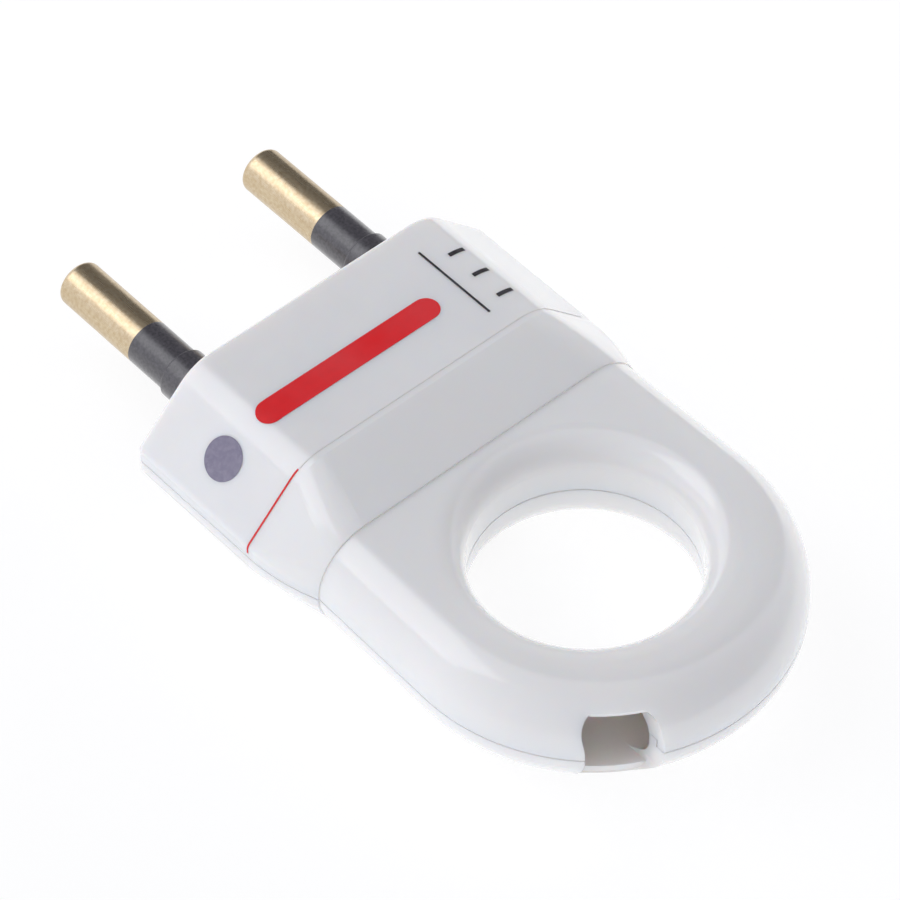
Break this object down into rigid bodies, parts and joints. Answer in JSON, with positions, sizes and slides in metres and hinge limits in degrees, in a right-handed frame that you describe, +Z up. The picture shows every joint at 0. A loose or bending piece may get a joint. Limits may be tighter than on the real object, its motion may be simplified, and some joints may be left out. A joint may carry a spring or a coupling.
{
  "type": "flat mains plug",
  "caption": "Flat white mains plug: round sleeved brass contact pins stand out of a chamfered head, and a flat finger ring behind it pulls the plug out and takes the cord through its rim.",
  "frame": {"origin": "middle of the plug in plan, on the surface that the flat underside of the head rests on", "axes": "+Y is the way the pins point, +Z is up through the upper shell, and +X is to the right with the ring towards the viewer"},
  "size_m": [0.0356, 0.0672, 0.0141],
  "materials": {
    "shell_plastic": "glossy white moulded plastic",
    "clear_film": "thin clear film with printed marks",
    "contact_brass": "satin turned brass",
    "sleeve_plastic": "satin black insulating plastic",
    "screw_steel": "zinc plated steel"
  },
  "bodies": {
    "root": {"upper_shell": "shell_plastic", "lower_shell": "shell_plastic", "label_film": "clear_film", "left_pin": "contact_brass", "right_pin": "contact_brass", "left_sleeve": "sleeve_plastic", "right_sleeve": "sleeve_plastic", "left_terminal_screw": "screw_steel", "right_terminal_screw": "screw_steel", "housing_screw": "screw_steel"}
  },
  "joints": []
}
